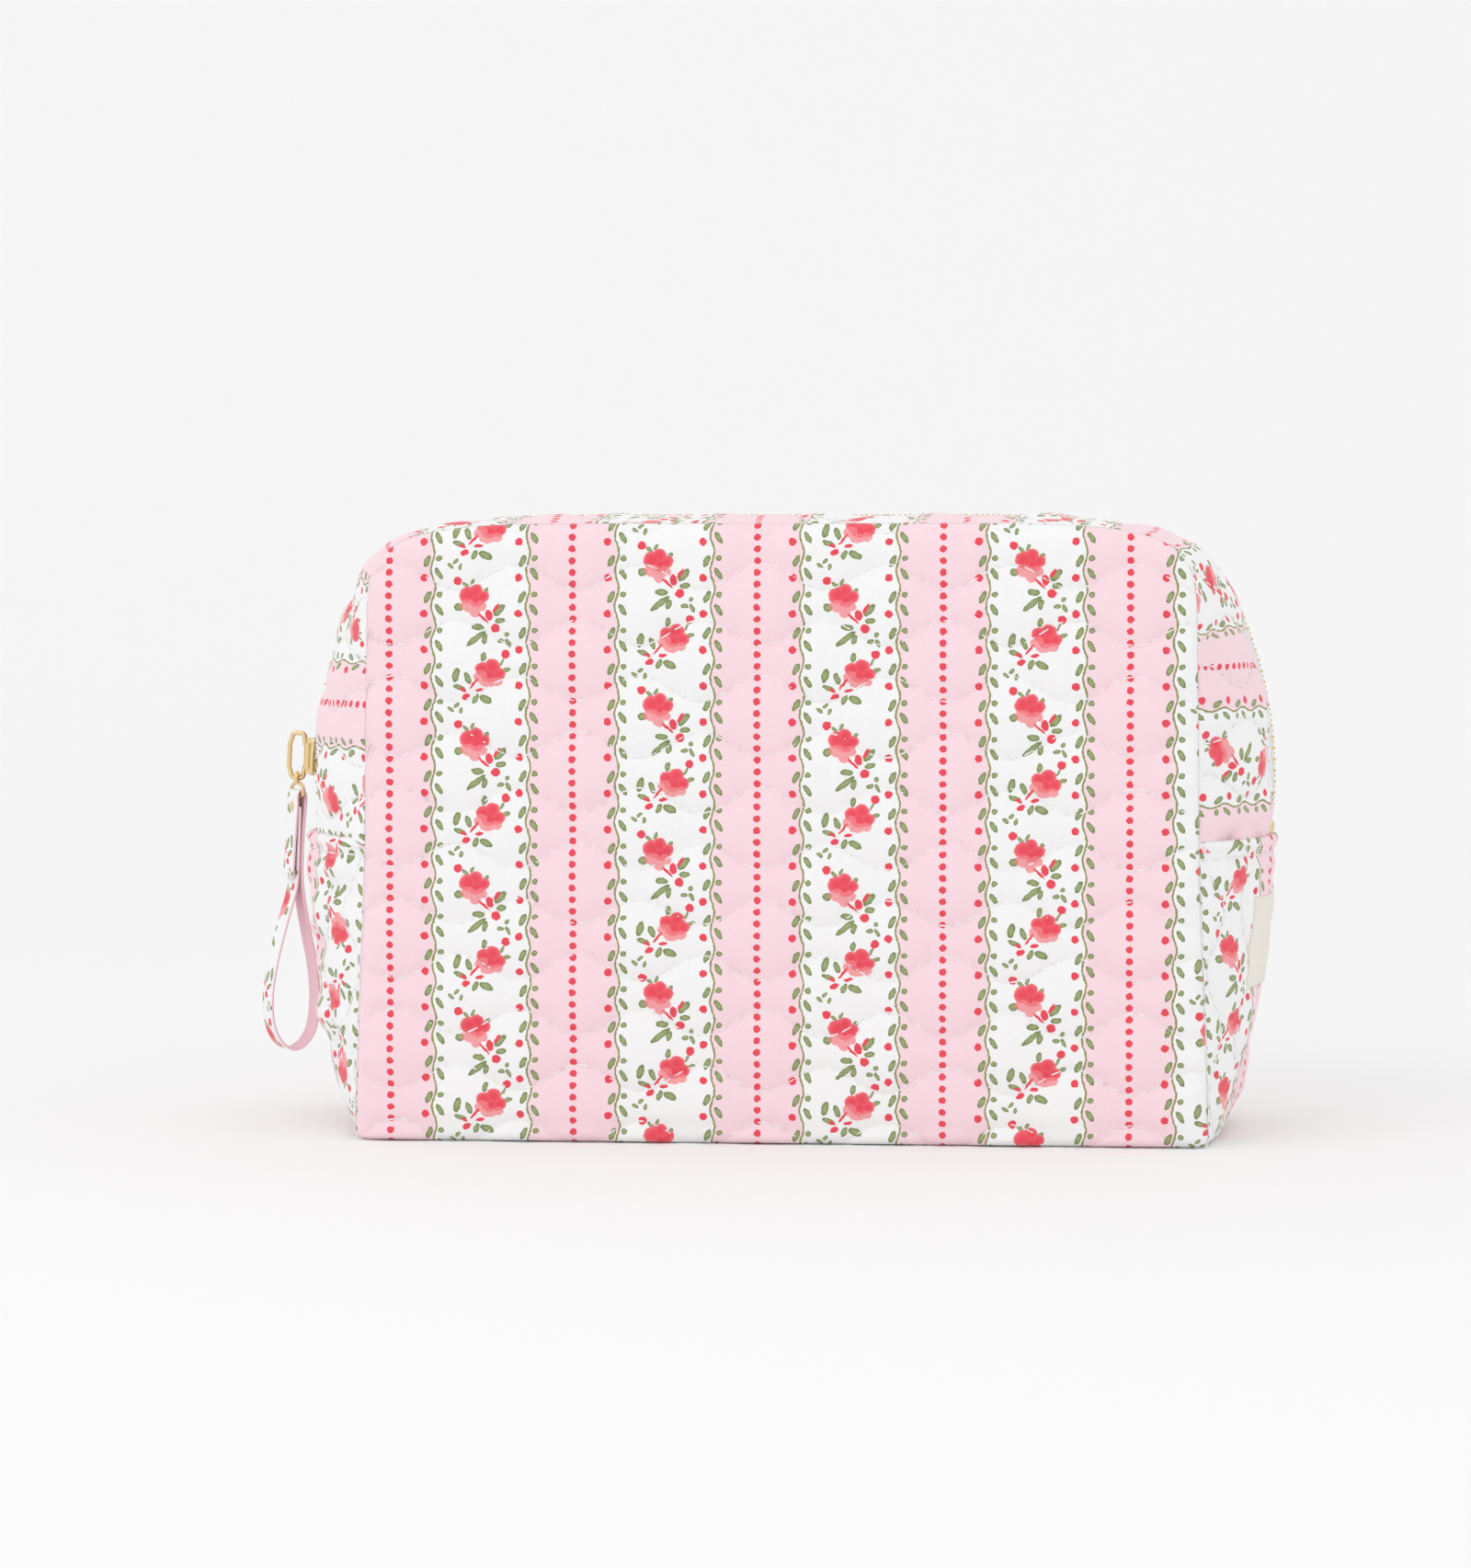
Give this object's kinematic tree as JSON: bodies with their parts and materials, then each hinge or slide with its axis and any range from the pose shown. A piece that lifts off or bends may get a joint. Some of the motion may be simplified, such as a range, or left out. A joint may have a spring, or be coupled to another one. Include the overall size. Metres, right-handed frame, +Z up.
{
  "type": "makeup bag",
  "caption": "Boxy quilted cotton makeup bag with bulging side strips, a zip running up one side, over the top and down the other, and a wrist strap on the zip pull.",
  "frame": {"origin": "centre of the flat base, on the surface the bag stands on", "axes": "+X along the bag's width, +Y from the front panel to the back panel, +Z up"},
  "size_m": [0.2819, 0.1, 0.17],
  "materials": {
    "quilted_cotton": "quilted printed cotton, matte",
    "strap_cotton": "printed cotton, matte",
    "lining_cotton": "plain woven cotton, matte",
    "binding_tape": "woven bias tape, matte",
    "zip_tape": "woven zip tape, matte",
    "woven_label": "woven label, satin",
    "zip_metal": "pale gold plated, polished",
    "gold_hardware": "pale gold plated, polished"
  },
  "bodies": {
    "root": {"front_panel_lower": "quilted_cotton", "front_lining_lower": "lining_cotton", "front_binding_lower": "binding_tape", "front_zip_gusset_ends": "quilted_cotton", "front_zip_lining_ends": "lining_cotton", "front_zip_tape_ends": "zip_tape", "front_zip_teeth_ends": "zip_metal", "back_panel_lower": "quilted_cotton", "back_lining_lower": "lining_cotton", "back_binding_lower": "binding_tape", "back_zip_gusset_ends": "quilted_cotton", "back_zip_lining_ends": "lining_cotton", "back_zip_tape_ends": "zip_tape", "back_zip_teeth_ends": "zip_metal", "base_gusset": "quilted_cotton", "base_gusset_lining": "lining_cotton", "side_label": "woven_label", "zip_stop_left": "zip_metal", "zip_stop_right": "zip_metal"},
    "front_flap": {"front_panel_upper": "quilted_cotton", "front_lining_upper": "lining_cotton", "front_binding_upper": "binding_tape", "front_zip_gusset": "quilted_cotton", "front_zip_lining": "lining_cotton", "front_zip_tape": "zip_tape", "front_zip_teeth": "zip_metal"},
    "back_flap": {"back_panel_upper": "quilted_cotton", "back_lining_upper": "lining_cotton", "back_binding_upper": "binding_tape", "back_zip_gusset": "quilted_cotton", "back_zip_lining": "lining_cotton", "back_zip_tape": "zip_tape", "back_zip_teeth": "zip_metal"},
    "slider": {"slider_body": "gold_hardware", "slider_bridge": "gold_hardware"},
    "pull_ring": {"pull_ring": "gold_hardware"},
    "strap": {"strap_link": "gold_hardware", "strap_rivet": "gold_hardware", "wrist_strap": "strap_cotton"}
  },
  "joints": [
    {"name": "front_mouth", "type": "hinge", "parent": "root", "child": "front_flap", "pos_m": [0, -0.05, 0.112], "axis": [1, 0, 0], "range_deg": [0, 45]},
    {"name": "back_mouth", "type": "hinge", "parent": "root", "child": "back_flap", "pos_m": [0, 0.05, 0.112], "axis": [-1, 0, 0], "range_deg": [0, 45]},
    {"name": "slider_travel", "type": "hinge", "parent": "root", "child": "slider", "pos_m": [-0.0142, 0, 0.097], "axis": [0, 1, 0], "range_deg": [0, 23]},
    {"name": "ring_swing", "type": "hinge", "parent": "slider", "child": "pull_ring", "pos_m": [-0.13643, 0, 0.10234], "axis": [0.0436, 0, 0.999], "range_deg": [-12, 12]},
    {"name": "strap_swing", "type": "hinge", "parent": "pull_ring", "child": "strap", "pos_m": [-0.13946, 0, 0.09616], "axis": [-0.999, 0, 0.0436], "range_deg": [-25, 25]}
  ],
  "couplings": [
    {"joint": "back_mouth", "follows": "front_mouth", "ratio": 1}
  ]
}
